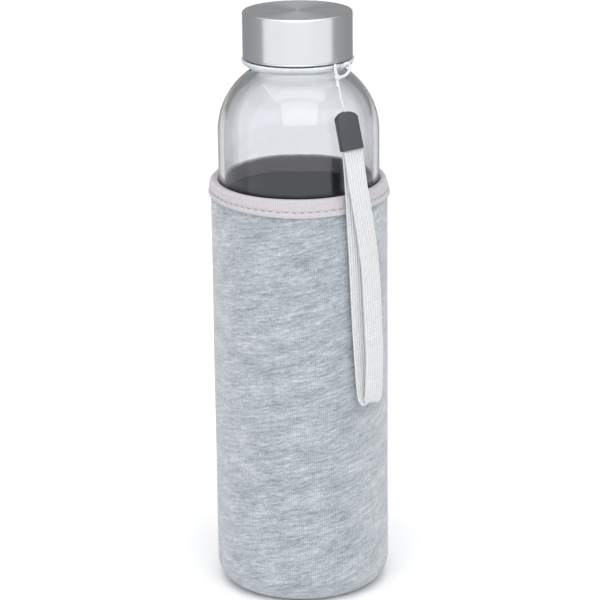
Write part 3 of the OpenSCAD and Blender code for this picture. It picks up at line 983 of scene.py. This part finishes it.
@dataclass
class Strap:
    """The wrist strap: string through the neck ring, its knot, a thin string, a clasp and a webbing loop."""

    web_width: float = 7.4
    web_thick: float = 1.0
    web_ribs: int = 8
    string_d: float = 1.1
    thin_d: float = 0.6
    clasp_size: tuple[float, float, float] = (8.3, 4.2, 14.4)
    clasp_arch_r: float = 5.0
    pocket: tuple[float, float, float] = (7.5, 2.9, 9.0)
    clasp_foot: tuple[float, float, float] = (19.8, -29.6, 182.45)
    clasp_turns: tuple[float, float, float] = (12.5, 6.25, 20.0)
    knot_at: tuple[float, float, float] = (14.7, -19.0, 207.7)
    loop_pivot: tuple[float, float, float] = (19.97, -29.77, 181.48)
    stopper_z: float = 8.1
    least_cord: float = 0.03

    STRING_ROUTE = (
        (14.4, -18.8, 208.4), (14.15, -18.5, 209.4), (14, -18.25, 210.5), (13.95, -18.05, 211.4),
        (14, -17.75, 211.95), (14.05, -17.35, 211.7), (13.92, -16.9, 210.7), (13.3, -16.1, 210.4),
        (12.8, -15.5, 210.4), (12.1, -14.7, 210.4), (12, -14, 210.4), (12.9, -13.2, 210.4),
        (13.6, -12.5, 210.4), (14.2, -12.4, 210.4), (15, -13.1, 210.4), (16.2, -14.2, 210.45),
        (17.2, -14.95, 211.3), (18.1, -14.75, 212.1), (19.1, -14.2, 211.6), (19.4, -14.4, 210.2),
        (18.9, -15.3, 208.9), (17.6, -16.9, 207.9), (15.6, -18.6, 207.5))
    THIN_ROUTE = (
        (14.9, -20.05, 206.3), (15.1, -20.8, 205.2), (15.3, -21.7, 204), (15.6, -22.8, 202.4),
        (16, -24, 200.8), (16.4, -25.2, 199.2), (16.85, -26.3, 197.6), (17.3, -27.1, 196.2),
        (17.6, -27.5, 194.6), (18, -27.9, 192.9), (18.23, -28.1, 191.2))
    WEB_ROUTE = (
        (19.8, -29.1, 181.3, 20), (20.1, -30.1, 175, 20), (20.5, -30.9, 168.5, 20), (20.9, -31.2, 161, 20),
        (21.2, -30.9, 153.5, 21), (21.6, -30.5, 145.5, 22), (22, -30.1, 135, 24), (22.4, -29.7, 125, 25),
        (22.8, -29.4, 115, 26), (23.3, -29.2, 105, 27), (23.9, -29.1, 95, 27), (24.4, -29.15, 88.5, 27),
        (24.8, -29.2, 85.4, 27), (25.3, -29.35, 84, 27), (26.1, -29.75, 83.3, 27), (26.9, -30.15, 84, 27),
        (27.4, -30.35, 85.4, 27), (27.7, -30.5, 88.5, 27), (27.9, -30.6, 96, 27), (27.9, -30.7, 105, 27),
        (27.5, -30.8, 115, 26), (27, -31, 128, 24), (26.4, -31.3, 137, 23), (25.5, -31.8, 145.5, 22),
        (24.3, -32.4, 154.5, 21), (22.9, -33, 163.5, 20), (21.9, -32.9, 169.5, 20), (21.2, -32.2, 175, 20),
        (20.2, -30.4, 181.7, 20))

    def clasp_place(self) -> Matrix:
        """Where the clasp hangs.

        Returns:
            Its placement, with Z up its length and Y to the back.
        """
        tilt, lean, yaw = (math.radians(a) for a in self.clasp_turns)
        return (Matrix.Translation(Vector(self.clasp_foot) * MM) @ Matrix.Rotation(yaw, 4, "Z")
                @ Matrix.Rotation(-lean, 4, "Y") @ Matrix.Rotation(-tilt, 4, "X"))

    def string(self) -> bpy.types.Object:
        """Makes the string: its cut end, up through the knot, in and out of the ring, and back to the knot.

        Returns:
            The piece.
        """
        tail = ((14.75, -20.75, 204.3), (14.7, -20.35, 205.2), (14.65, -19.8, 206.2), (14.6, -19.25, 207.3))
        run = smoothed([Vector(p) * MM for p in (*tail, *self.STRING_ROUTE, (14.8, -18.9, 207.3))], 5)
        bm = sweep(round_section(self.string_d / 2 * MM, 12), placements(run))
        piece = finished_piece("ring_loop_string", bm, STRING, Body.RING, ["ring_string"], 80.0)
        self.knot()
        return piece

    def knot(self) -> bpy.types.Object:
        """Makes the knot as one string turned through itself.

        Returns:
            The piece.
        """
        centre = Vector(self.knot_at) * MM
        lean = Matrix.Rotation(math.radians(35.0), 4, "X") @ Matrix.Rotation(math.radians(60.0), 4, "Y")
        run = []
        for k in range(97):
            t = TURN * k / 96
            wide = 0.72 + 0.3 * math.cos(3 * t)
            spot = Vector((wide * math.cos(2 * t), wide * math.sin(2 * t), 0.42 * math.sin(3 * t)))
            run.append(centre + lean.to_3x3() @ spot * MM)
        bm = sweep(round_section(0.4 * MM, 10), placements(run))
        return finished_piece("hitch_knot_wraps", bm, KNOT, Body.RING, ["hitch_knot"], 80.0)

    def thin_string(self) -> bpy.types.Object:
        """Makes the thin string from the knot down to the stopper in the clasp.

        Returns:
            The piece.
        """
        run = smoothed([Vector(p) * MM for p in self.THIN_ROUTE], 5)
        bm = sweep(round_section(self.thin_d / 2 * MM, 10), placements(run))
        return finished_piece("clasp_string", bm, STRING, Body.STRAP, ["strap_string"], 80.0)

    def clasp(self) -> bpy.types.Object:
        """Makes the clasp: a flat moulding with an arched top and a pocket for the webbing.

        Returns:
            The piece.
        """
        wide, thick, tall = (part * MM for part in self.clasp_size)
        r = self.clasp_arch_r * MM
        bm = bmesh.new()
        reach = math.asin(wide / 2 / r)
        turns = [reach * (1 - k / 6) for k in range(13)]
        top = [(r * math.sin(turn), tall - r + r * math.cos(turn)) for turn in turns]
        outline = [(-wide / 2, 0.0), (wide / 2, 0.0), *top]
        face = bm.faces.new([bm.verts.new((x, -thick / 2, z)) for x, z in outline])
        grown = bmesh.ops.extrude_face_region(bm, geom=[face])["geom"]
        bmesh.ops.translate(bm, vec=(0.0, thick, 0.0),
                            verts=[part for part in grown if isinstance(part, bmesh.types.BMVert)])
        bmesh.ops.recalc_face_normals(bm, faces=bm.faces[:])
        foot = min(bm.faces, key=lambda f: f.calc_center_median().z)
        rim = [edge for edge in bm.edges if edge.calc_face_angle(0.0) > 1.0 and foot not in edge.link_faces]
        bmesh.ops.bevel(bm, geom=rim, offset=0.45 * MM, segments=3, profile=0.5, affect="EDGES", material=-1)
        foot = min(bm.faces, key=lambda f: f.calc_center_median().z)
        lip = (wide - self.pocket[0] * MM) / 2
        bmesh.ops.inset_individual(bm, faces=[foot], thickness=lip * 0.9)
        for edge in list(foot.edges):
            edge.smooth = False
        for vert in foot.verts:
            vert.co.y = math.copysign(min(abs(vert.co.y), self.pocket[1] * MM / 2), vert.co.y)
        deep = bmesh.ops.extrude_face_region(bm, geom=[foot])["geom"]
        bmesh.ops.translate(bm, vec=(0.0, 0.0, self.pocket[2] * MM),
                            verts=[part for part in deep if isinstance(part, bmesh.types.BMVert)])
        if foot.is_valid:
            bmesh.ops.delete(bm, geom=[foot], context="FACES_ONLY")
        bmesh.ops.recalc_face_normals(bm, faces=bm.faces[:])
        bmesh.ops.transform(bm, matrix=self.clasp_place(), verts=bm.verts[:])
        return finished_piece("clasp_moulding", bm, CLASP, Body.STRAP, ["strap_clasp"], 45.0)

    def stopper(self) -> bpy.types.Object:
        """Makes the stopper knot that holds the thin string in the clasp.

        Returns:
            The piece.
        """
        bm = bmesh.new()
        place = self.clasp_place() @ Matrix.Translation((0.0, 0.0, self.stopper_z * MM))
        bmesh.ops.create_uvsphere(bm, u_segments=20, v_segments=12, radius=1.0,
                                  matrix=place @ Matrix.Diagonal((1.3 * MM, 1.3 * MM, 0.9 * MM, 1.0)))
        bm.loops.layers.uv.new("unrolled")
        return finished_piece("stopper_knot", bm, KNOT, Body.STRAP, ["clasp_stopper"], 80.0)

    def web_section(self) -> list[Vector]:
        """The webbing's section: flat, with a row of rounded ribs on both faces.

        Returns:
            The section's points, in metres.
        """
        half, thick = self.web_width / 2 * MM, self.web_thick / 2 * MM
        cuts = 4 * self.web_ribs
        face = []
        for k in range(cuts + 1):
            x = half * (1.0 - 2.0 * k / cuts)
            rib = abs(math.sin(math.pi * self.web_ribs * k / cuts))
            edge = 0.55 if k in (0, cuts) else 1.0
            face.append((x, thick * edge * (0.72 + 0.28 * rib)))
        back = [(-x, -y) for x, y in face]
        return [Vector((x, y, 0.0)) for x, y in face + back]

    def webbing_run(self) -> tuple[list[Vector], list[Vector]]:
        """The webbing's middle line, with both ends inside the clasp.

        Returns:
            Its points in metres, and which way its width lies at each.
        """
        place = self.clasp_place()
        ends = [Vector((0.0, 0.72 * MM, z * MM)) for z in (5.0, 2.6, 0.3)]
        wide = (place.to_3x3() @ Vector((1.0, 0.0, 0.0))).normalized()
        points = [place @ p for p in ends]
        sides = [wide] * 3
        for x, y, z, turn in self.WEB_ROUTE[1:-1]:
            points.append(Vector((x, y, z)) * MM)
            sides.append(Vector((math.cos(math.radians(turn)), math.sin(math.radians(turn)), 0.0)))
        points += [place @ Vector((p.x, -p.y, p.z)) for p in reversed(ends)]
        sides += [wide] * 3
        return smoothed(points, 8), smoothed(sides, 8)

    def webbing(self) -> bpy.types.Object:
        """Makes the flat woven loop, which bends where it leaves the clasp.

        Returns:
            The piece.
        """
        run, sides = self.webbing_run()
        bm = sweep(self.web_section(), placements(run, sides))
        layer = bm.loops.layers.uv["unrolled"]
        width = self.web_width * MM
        for face in bm.faces:
            for loop in face.loops:
                length, turn = loop[layer].uv
                share = 2.0 * (turn % 0.5)
                loop[layer].uv = (width * (1.0 - share if turn % 1.0 < 0.5 else share), length)
        piece = finished_piece("webbing_loop", bm, WEBBING, None, ["strap_webbing"], 70.0)
        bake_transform(piece)
        length = sum((b - a).length for a, b in zip(run, run[1:]))
        LOG.info("webbing length %.1f mm", length / MM)
        return piece

    def build(self) -> None:
        """Makes every piece of the strap."""
        for make in (self.webbing, self.string, self.thin_string, self.clasp, self.stopper):
            piece = make()
            LOG.info("strap: %s, %d faces", piece.name, len(piece.data.polygons))


# ---------------------------------------------------------------- sleeve

@dataclass
class Sleeve:
    """The knit sleeve with its lining, binding, base panel and seams."""

    outer_r: float = 34.1
    inner_r: float = 31.7
    lining_r: float = 31.3
    heel_r: float = 8.8
    wall: float = 2.4
    floor_z: float = 2.8
    panel_r: float = 24.0
    top_z: float = 164.9
    tape_low: float = 158.1
    tape_r: float = 35.1
    ribs: int = 252
    tape_stitches: int = 72
    seam_stitches: int = 44
    base_stitches: int = 40
    wall_steps: int = 420
    seam_depth: float = 0.34
    seam_reach: float = 0.75
    pucker_depth: float = 0.08
    pucker_reach: float = 3.0
    stitch_row_z: float = 2.3
    rim_reach: float = 26.0
    rim_dip: float = 0.75
    rim_pull: float = 1.05
    rim_pull_right: float = 0.45

    def settled(self, place: Vector) -> Vector:
        """Moves a place on the upper sleeve to where the soft cloth settles.

        The rim dips at the front, rises at the back and pulls in towards the glass, most of all on the
        right; the tape's lower edge rides up at the sides.

        Args:
            place: A place on the sleeve as it was sewn, in metres.

        Returns:
            The place as it hangs on the bottle.
        """
        low, top = self.tape_low * MM, self.top_z * MM
        reach = self.rim_reach * MM
        fade = min(1.0, max(0.0, (place.z - low + reach) / reach))
        fade = fade * fade * (3.0 - 2.0 * fade)
        up = min(1.0, max(0.0, (place.z - low) / (top - low)))
        radius = math.hypot(place.x, place.y)
        if fade == 0.0 or radius < 1e-6:
            return place
        right, ahead = place.x / radius, -place.y / radius
        share = min(1.0, radius / (self.lining_r * MM))
        ride_up = (1.3 * max(0.0, -right) ** 1.5 + 0.6 * max(0.0, right) ** 1.5) * (1.0 - up)
        rear = 0.35 * min(ahead, 0.0) ** 2
        lift = (ride_up - self.rim_dip * ahead + rear) * fade * share * MM
        inner, outer = (self.lining_r - 0.05) * MM, self.tape_r * MM
        depth = max(0.0, radius - inner) / (outer - inner)
        pull = (self.rim_pull + self.rim_pull_right * right) * up * depth * MM
        shrunk = (radius - pull) / radius
        return Vector((place.x * shrunk, place.y * shrunk, place.z + lift))

    def settle(self, bm: bmesh.types.BMesh) -> None:
        """Settles every corner of a shape."""
        for vert in bm.verts:
            vert.co = self.settled(vert.co)

    def outline_length(self, place: Vector) -> float:
        """Length along the outside of the sleeve.

        Args:
            place: A place on the sleeve, in metres.

        Returns:
            The length up to it from the foot of the wall, in metres.
        """
        heel, r = self.heel_r * MM, math.hypot(place.x, place.y)
        if place.z >= heel:
            return place.z
        bend = math.atan2(heel - place.z, max(r - (self.outer_r * MM - heel), 1e-9))
        flat = max(0.0, self.outer_r * MM - heel - r)
        return heel - heel * min(bend, math.pi / 2) - flat

    def shell(self) -> bpy.types.Object:
        """Makes the knit and foam wall, closed round its foot, with its sewn seam up the back.

        Returns:
            The piece.
        """
        heel = (self.outer_r - self.heel_r, self.heel_r)
        inner = (self.inner_r - (self.heel_r - self.wall), self.heel_r)
        seam_z = self.tape_low
        profile = [(self.panel_r + 0.1, self.wall), (self.panel_r + 0.06, 1.0), (self.panel_r + 0.3, 0.3),
                   (self.panel_r + 0.75, 0.04), *arc(heel, self.heel_r, -90, 0, 16),
                   *rise(self.outer_r, self.heel_r, seam_z - 0.6, 74),
                   (self.outer_r - 0.1, seam_z - 0.5), (self.outer_r - 0.28, seam_z + 0.3),
                   (self.outer_r - 0.3, self.top_z - 1.2), (self.inner_r + 0.15, self.top_z - 1.2),
                   *rise(self.inner_r + 0.02, self.top_z - 1.2, self.heel_r, 10),
                   *arc(inner, self.heel_r - self.wall, 0, -90, 8)]
        bm = spun(profile, self.wall_steps, True)
        for vert in bm.verts:
            out = Vector((vert.co.x, vert.co.y, 0.0))
            if out.length < (self.outer_r - 1.0) * MM or vert.co.z > (seam_z - 0.7) * MM:
                continue
            arc_from_seam = out.length * min(turn_of(vert.co), TURN - turn_of(vert.co))
            ease = min(1.0, (out.length / MM - self.outer_r + 1.0) / 1.0)
            soft = noise.noise(Vector((vert.co.x * 55, vert.co.y * 55, vert.co.z * 28)))
            fine = noise.noise(vert.co * 240)
            stitch = 0.5 + 0.5 * math.cos(TURN * (vert.co.z / MM - 13.8) / 3.26)
            seam = math.exp(-(arc_from_seam / (self.seam_reach * MM)) ** 2) * self.seam_depth
            pucker = math.exp(-(arc_from_seam / (self.pucker_reach * MM)) ** 2) * self.pucker_depth * stitch
            under_tape = math.exp(-((seam_z - vert.co.z / MM) / 2.0) ** 2) * 0.12
            move = ease * (0.10 * soft + 0.03 * fine - seam - pucker - under_tape) * MM
            vert.co += out.normalized() * move
        unroll(bm, self.outer_r * MM, self.outline_length)
        self.settle(bm)
        return finished_piece("knit_sleeve", bm, KNIT, Body.SLEEVE, ["sleeve_body"], 60.0)

    def panel(self) -> bpy.types.Object:
        """Makes the round base panel, rolled into the groove where it is sewn in.

        Returns:
            The piece.
        """
        r = self.panel_r
        profile = [(0.0, 0.12), (8.0, 0.1), (16.0, 0.05), (r - 2.2, 0.0), (r - 1.3, 0.03), (r - 0.6, 0.2),
                   (r - 0.15, 0.6), (r - 0.02, 1.2), (r - 0.02, self.wall), (12.0, self.wall), (0.0, self.wall)]
        bm = spun(profile, 160, False)
        layer = bm.loops.layers.uv.new("unrolled")
        for face in bm.faces:
            for loop in face.loops:
                loop[layer].uv = (loop.vert.co.x, loop.vert.co.y)
        return finished_piece("base_panel", bm, KNIT, Body.SLEEVE, ["sleeve_base"], 60.0)

    def lining(self) -> bpy.types.Object:
        """Makes the black lining that faces the glass.

        Returns:
            The piece.
        """
        small, big = self.heel_r - self.wall - 0.4, self.heel_r - self.wall
        profile = [(0.0, self.floor_z), *arc((self.lining_r - small, self.floor_z + small), small, -90, 0, 8),
                   *rise(self.lining_r, self.floor_z + small, self.tape_low + 0.8, 20),
                   (self.lining_r + 0.05, self.tape_low + 0.8), (self.inner_r - 0.03, self.tape_low + 0.8),
                   *rise(self.inner_r - 0.03, self.tape_low, self.heel_r, 8),
                   *arc((self.inner_r - big, self.wall + big + 0.02), big - 0.03, 0, -90, 8),
                   (0.0, self.wall + 0.05)]
        bm = spun(profile, 180, False)
        for vert in bm.verts:
            out = Vector((vert.co.x, vert.co.y, 0.0))
            if out.length > 30.8 * MM and out.length < 31.5 * MM:
                vert.co += out.normalized() * 0.06 * MM * (noise.noise(vert.co * 160) + 0.6)
        unroll(bm, self.lining_r * MM, self.outline_length)
        self.settle(bm)
        return finished_piece("dark_lining", bm, LINING, Body.SLEEVE, ["sleeve_lining"], 60.0)

    def binding(self) -> bpy.types.Object:
        """Makes the ribbed tape that is folded over the top edge and sewn down.

        Returns:
            The piece.
        """
        r, low, top = self.tape_r, self.tape_low, self.top_z
        stitch = low + self.stitch_row_z
        outer = [(self.outer_r - 0.25, low + 0.25), (r - 0.45, low), (r - 0.12, low + 0.1), (r, low + 0.35),
                 (r - 0.02, low + 1.0), (r - 0.1, stitch - 0.45), (r - 0.36, stitch - 0.12),
                 (r - 0.36, stitch + 0.12), (r - 0.12, stitch + 0.5), (r - 0.12, stitch + 1.2),
                 (r - 0.2, stitch + 2.4), (r - 0.3, top - 1.5)]
        roll = arc((r - 1.45, top - 1.2), 1.2, 12, 90, 6)
        inner = [(self.lining_r + 1.1, top - 0.05), *arc((self.lining_r + 0.85, top - 0.95), 0.9, 100, 180, 4),
                 (self.lining_r - 0.05, low + 3.5), (self.lining_r - 0.05, low + 0.9),
                 (self.lining_r - 0.12, low + 0.6), (self.lining_r - 0.1, low + 0.2),
                 (self.lining_r + 0.5, low)]
        bm = spun(outer + roll + inner, self.ribs * 4, True)
        for vert in bm.verts:
            out = Vector((vert.co.x, vert.co.y, 0.0))
            angle = turn_of(vert.co)
            rib = abs(math.cos(0.5 * self.ribs * angle)) - 0.64
            hole = (0.5 - 0.5 * math.cos(self.tape_stitches * (angle + math.pi / 2) - 0.68 * math.pi)) ** 6
            in_row = math.exp(-((vert.co.z / MM - stitch) / 0.35) ** 2)
            wave = 0.12 * noise.noise(Vector((vert.co.x * 90, vert.co.y * 90, 0.0)))
            outside = 1.0 if out.length > (self.outer_r - 0.5) * MM else 0.35
            lift = outside * 0.16 * rib - (0.22 * hole * in_row if out.length > self.outer_r * MM else 0.0)
            vert.co += out.normalized() * (lift + wave * outside) * MM
            vert.co.z += 0.12 * MM * noise.noise(Vector((vert.co.x * 60 + 3, vert.co.y * 60, 1.0)))
        unroll(bm, r * MM, lambda place: place.z)
        self.settle(bm)
        return finished_piece("edge_binding", bm, TAPE, Body.SLEEVE, ["sleeve_binding"], 75.0)

    def binding_thread(self) -> bpy.types.Object:
        """Makes the row of stitches that holds the tape, in real thread darkened with painted shade.

        Returns:
            The piece.
        """
        step = TURN / self.tape_stitches
        z = (self.tape_low + self.stitch_row_z) * MM
        spots = []
        for k in range(self.tape_stitches):
            drift = 0.12 * MM * noise.cell(Vector((k + 0.5, 2.0, 7.0)))
            lean = 0.16 * noise.cell(Vector((k + 0.5, 5.0, 1.0))) - 0.05
            spots.append(round_the_axis((self.tape_r - 0.3) * MM, z + drift, step * (k + 0.34), lean))
        bm = stitch_row(spots, (0.72 * MM, 0.21 * MM, 0.17 * MM))
        self.settle(bm)
        return finished_piece("tape_stitching", bm, SHADE_DARK_THREAD, Body.SLEEVE, ["binding_stitches"], 80.0)

    def seam_thread(self) -> bpy.types.Object:
        """Makes the crossing stitches up the back seam.

        Returns:
            The piece.
        """
        low, high = self.heel_r + 5.0, self.tape_low - 1.0
        step = (high - low) / self.seam_stitches
        spots = []
        for k in range(self.seam_stitches):
            z = (low + step * (k + 0.5)) * MM
            lean = 0.32 if k % 2 else -0.32
            spots.append(round_the_axis((self.outer_r - 0.05) * MM, z, math.pi / 2, lean))
        bm = stitch_row(spots, (2.3 * MM, 0.24 * MM, 0.18 * MM))
        self.settle(bm)
        return finished_piece("back_seam_thread", bm, SEAM_THREAD, Body.SLEEVE, ["back_seam_stitches"], 80.0)

    def base_thread(self) -> bpy.types.Object:
        """Makes the stitches that join the base panel to the wall.

        Returns:
            The piece.
        """
        spots = []
        for k in range(self.base_stitches):
            angle = TURN * (k + 0.08) / self.base_stitches
            out = Vector((math.cos(angle), math.sin(angle), 0.0))
            side = Vector((-math.sin(angle), math.cos(angle), 0.0))
            turn = Matrix((out, side, out.cross(side))).transposed().to_4x4()
            place = out * (self.panel_r - 0.1) * MM + Vector((0.0, 0.0, 0.28 * MM))
            spots.append(Matrix.Translation(place) @ turn)
        bm = stitch_row(spots, (0.85 * MM, 0.25 * MM, 0.2 * MM))
        return finished_piece("base_seam_thread", bm, SEAM_THREAD, Body.SLEEVE, ["base_seam_stitches"], 80.0)

    def build(self) -> None:
        """Makes every piece of the sleeve."""
        for make in (self.shell, self.panel, self.lining, self.binding, self.binding_thread, self.seam_thread,
                     self.base_thread):
            piece = make()
            LOG.info("sleeve: %s, %d faces", piece.name, len(piece.data.polygons))


# ---------------------------------------------------------------- bottle and cap

@dataclass
class Bottle:
    """The clear glass, with the ring that carries the strap round its neck."""

    glass_crease: float = 50.0
    ring_crease: float = 35.0

    def build(self) -> None:
        """Makes the glass and the ring."""
        for piece in (cad_copy("glass", "glass_bottle", GLASS, Body.BOTTLE, self.glass_crease),
                      cad_copy("strap_ring", "neck_ring", RING, Body.RING, self.ring_crease)):
            LOG.info("bottle: %s, %d faces", piece.name, len(piece.data.polygons))


@dataclass
class Cap:
    """The screw cap: a drawn steel shell over a plastic liner, with a soft seal."""

    radius: float = 20.95
    height: float = 17.7
    top_z: float = 229.7
    skin: float = 0.5
    edge_r: float = 0.8
    hem_r: float = 0.45
    steps: int = 256
    crease: float = 38.0

    def shell(self) -> bpy.types.Object:
        """Makes the steel shell with its hardly crowned top, tight top edge and rolled hem.

        Returns:
            The piece.
        """
        r, top, low = self.radius, self.top_z, self.top_z - self.height
        inside = r - self.skin
        profile = [(0.0, top - 0.03), (4.0, top - 0.03), (12.0, top - 0.015), (17.0, top),
                   (r - self.edge_r - 0.2, top),
                   *arc((r - self.edge_r, top - self.edge_r), self.edge_r, 90, 0, 8),
                   *rise(r, top - self.edge_r, low + 0.95, 8), (r - 0.03, low + 0.9), (r - 0.03, low + 0.84),
                   *arc((r + 0.04 - self.hem_r, low + self.hem_r), self.hem_r, 60, -200, 14),
                   (inside, low + 1.2), (inside, top - 1.6),
                   *arc((inside - 0.6, top - self.skin - 0.6), 0.6, 0, 90, 4), (10.0, top - self.skin),
                   (0.0, top - self.skin)]
        bm = spun(profile, self.steps, False)
        return finished_piece("steel_cap", bm, STEEL, Body.CAP, ["cap_shell"], 35.0)

    def build(self) -> None:
        """Makes the shell, the liner and the seal."""
        for piece in (self.shell(), cad_copy("plastic_liner", "cap_liner", LINER, Body.CAP, self.crease),
                      cad_copy("seal_disc", "cap_seal", SEAL, Body.SEAL, self.crease)):
            LOG.info("cap: %s, %d faces", piece.name, len(piece.data.polygons))


def main() -> None:
    """Builds the scene in order."""
    logging.basicConfig(level=logging.INFO, format="%(name)s: %(message)s")
    Viewpoint().build()
    Strap().build()
    Sleeve().build()
    Bottle().build()
    Cap().build()
    Studio().build()


if __name__ == "__main__":
    main()
